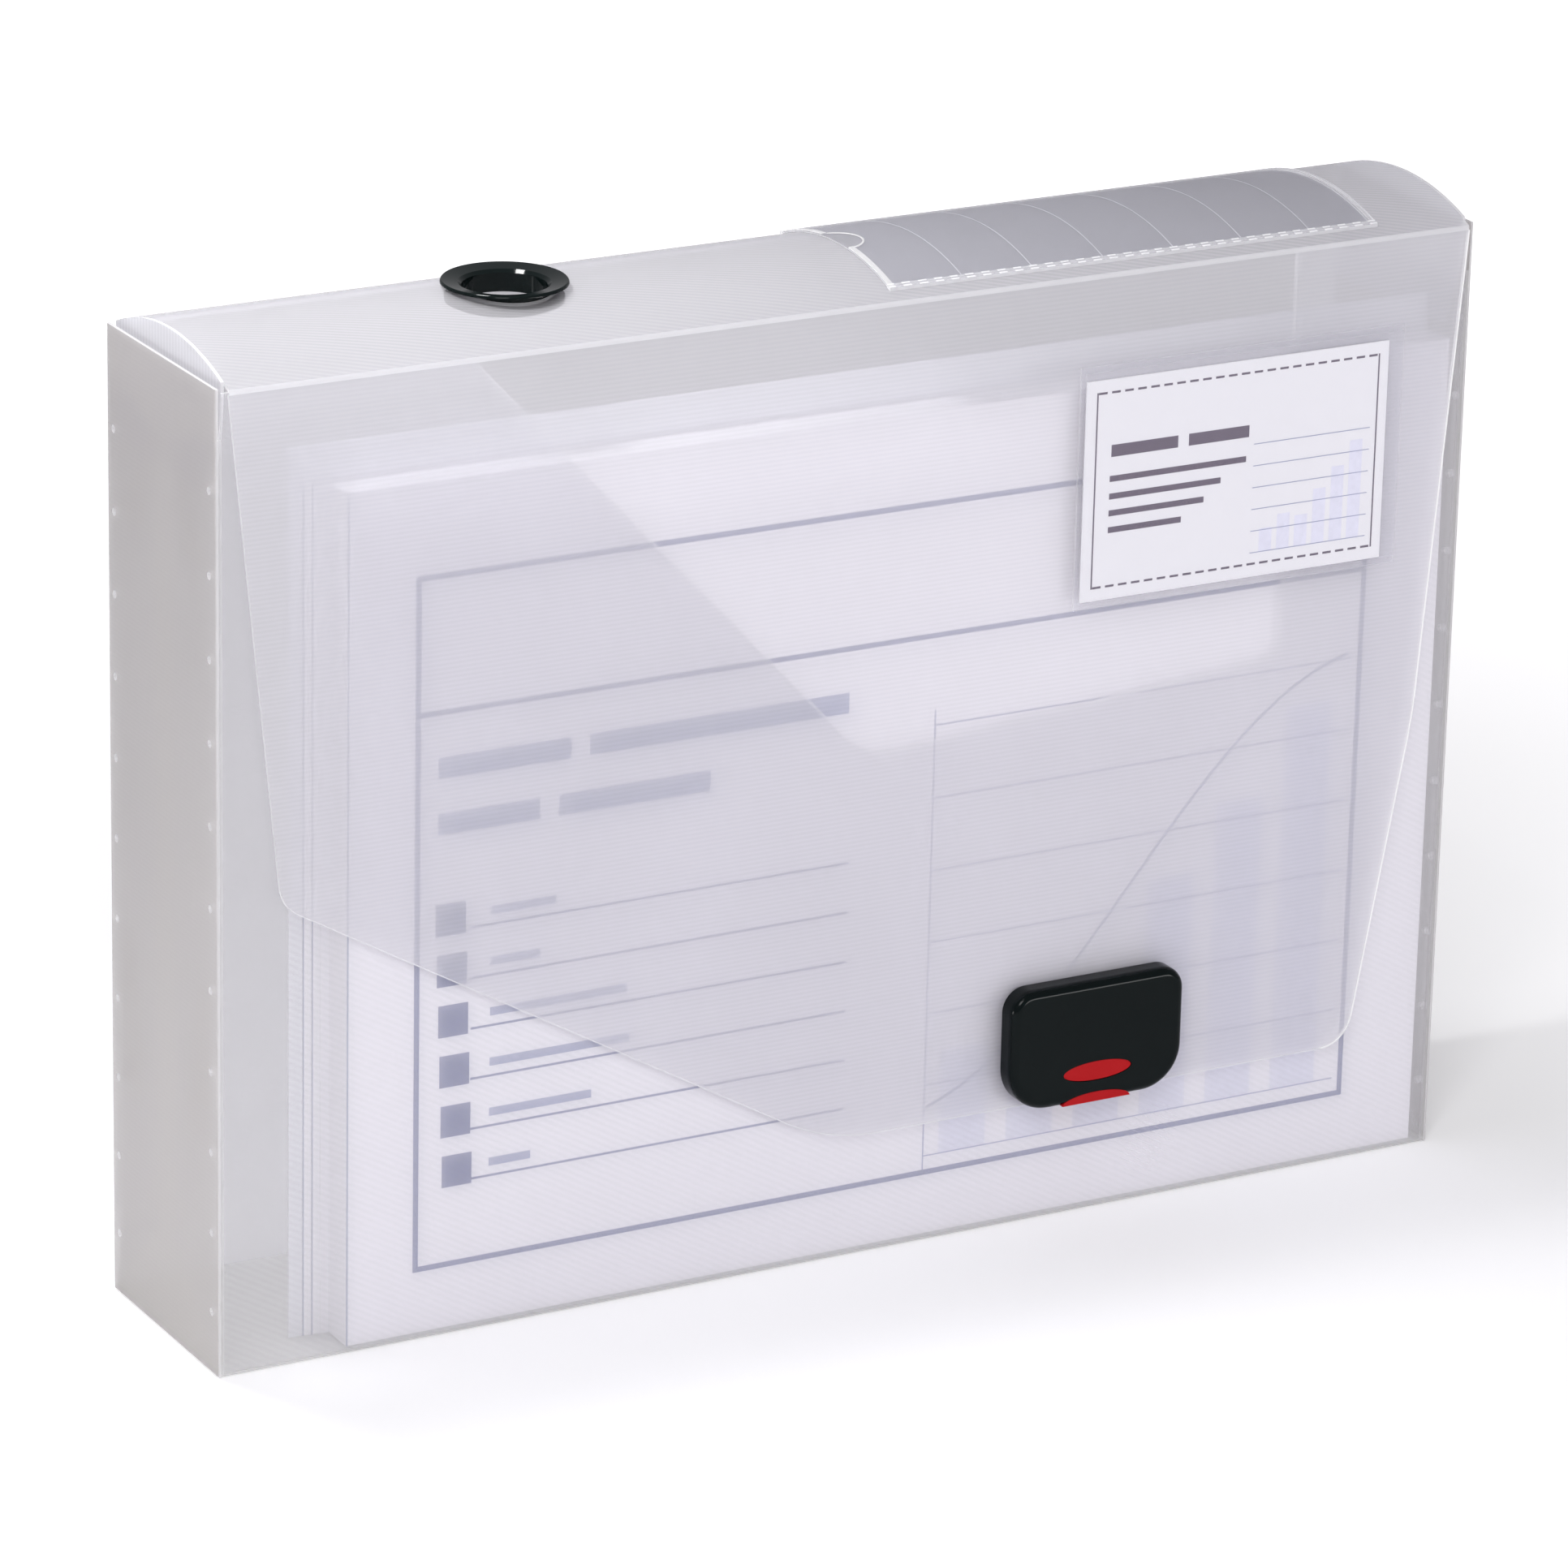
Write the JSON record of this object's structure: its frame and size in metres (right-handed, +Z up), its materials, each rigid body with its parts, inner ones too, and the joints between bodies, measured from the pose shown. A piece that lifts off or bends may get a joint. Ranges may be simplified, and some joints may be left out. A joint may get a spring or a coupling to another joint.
{
  "type": "document box",
  "caption": "Translucent plastic document box with arched spine, finger ring, label and card pockets, front cover flap and press clasp, holding landscape papers.",
  "frame": {"origin": "middle of the footprint of the walls, on the surface that the box stands on", "axes": "+X along the box to the right, -Y out of the cover, +Z up to the spine"},
  "size_m": [0.3352, 0.0665, 0.248],
  "materials": {
    "sheet": "clear milky polypropylene sheet with a fine embossed line grain",
    "weld": "welded sheet",
    "film": "clear film",
    "black_plastic": "glossy black moulding",
    "red_plastic": "satin red moulding",
    "spring_steel": "spring strip",
    "label": "grey-blue tinted index strip with ruled cells",
    "card": "printed card",
    "paper": "printed and plain white paper",
    "wallet": "pale wallet"
  },
  "bodies": {
    "box": {"bottom_panel": "sheet", "back_panel": "sheet", "front_wall": "sheet", "left_end_panel": "sheet", "right_end_panel": "sheet", "left_front_glue_flap": "sheet", "left_back_glue_flap": "sheet", "right_front_glue_flap": "sheet", "right_back_glue_flap": "sheet", "left_weld_plugs": "weld", "right_weld_plugs": "weld", "catch_plate": "black_plastic", "catch_backing": "black_plastic", "title_page": "paper", "report_pages": "paper", "loose_sheet_1": "paper", "loose_sheet_2": "paper", "loose_sheet_3": "paper", "document_wallet": "wallet"},
    "spine": {"spine_panel": "sheet", "left_tuck_flap": "sheet", "right_tuck_flap": "sheet", "finger_ring": "black_plastic", "ring_collar": "black_plastic", "label_pocket": "film"},
    "label": {"spine_label": "label"},
    "cover": {"cover_flap": "sheet", "card_pocket": "film", "clasp_housing": "black_plastic", "clasp_backing": "black_plastic", "latch_springs": "spring_steel"},
    "card": {"business_card": "card"},
    "latch": {"red_latch": "red_plastic"}
  },
  "joints": [
    {"name": "spine_hinge", "type": "hinge", "parent": "box", "child": "spine", "pos_m": [0, 0.0305, 0.24], "axis": [-1, 0, 0], "range_deg": [0, 120]},
    {"name": "cover_hinge", "type": "hinge", "parent": "spine", "child": "cover", "pos_m": [0, -0.0305, 0.24], "axis": [-1, 0, 0], "range_deg": [0, 180]},
    {"name": "label_slide", "type": "slide", "parent": "spine", "child": "label", "axis": [-1, 0, 0], "range_m": [0, 0.058]},
    {"name": "card_slide", "type": "slide", "parent": "cover", "child": "card", "axis": [1, 0, 0], "range_m": [0, 0.08]},
    {"name": "latch_press", "type": "slide", "parent": "cover", "child": "latch", "axis": [0, 1, 0], "range_m": [0, 0.001], "stiffness_N_per_m": 2000, "springref_m": -0.0003}
  ]
}
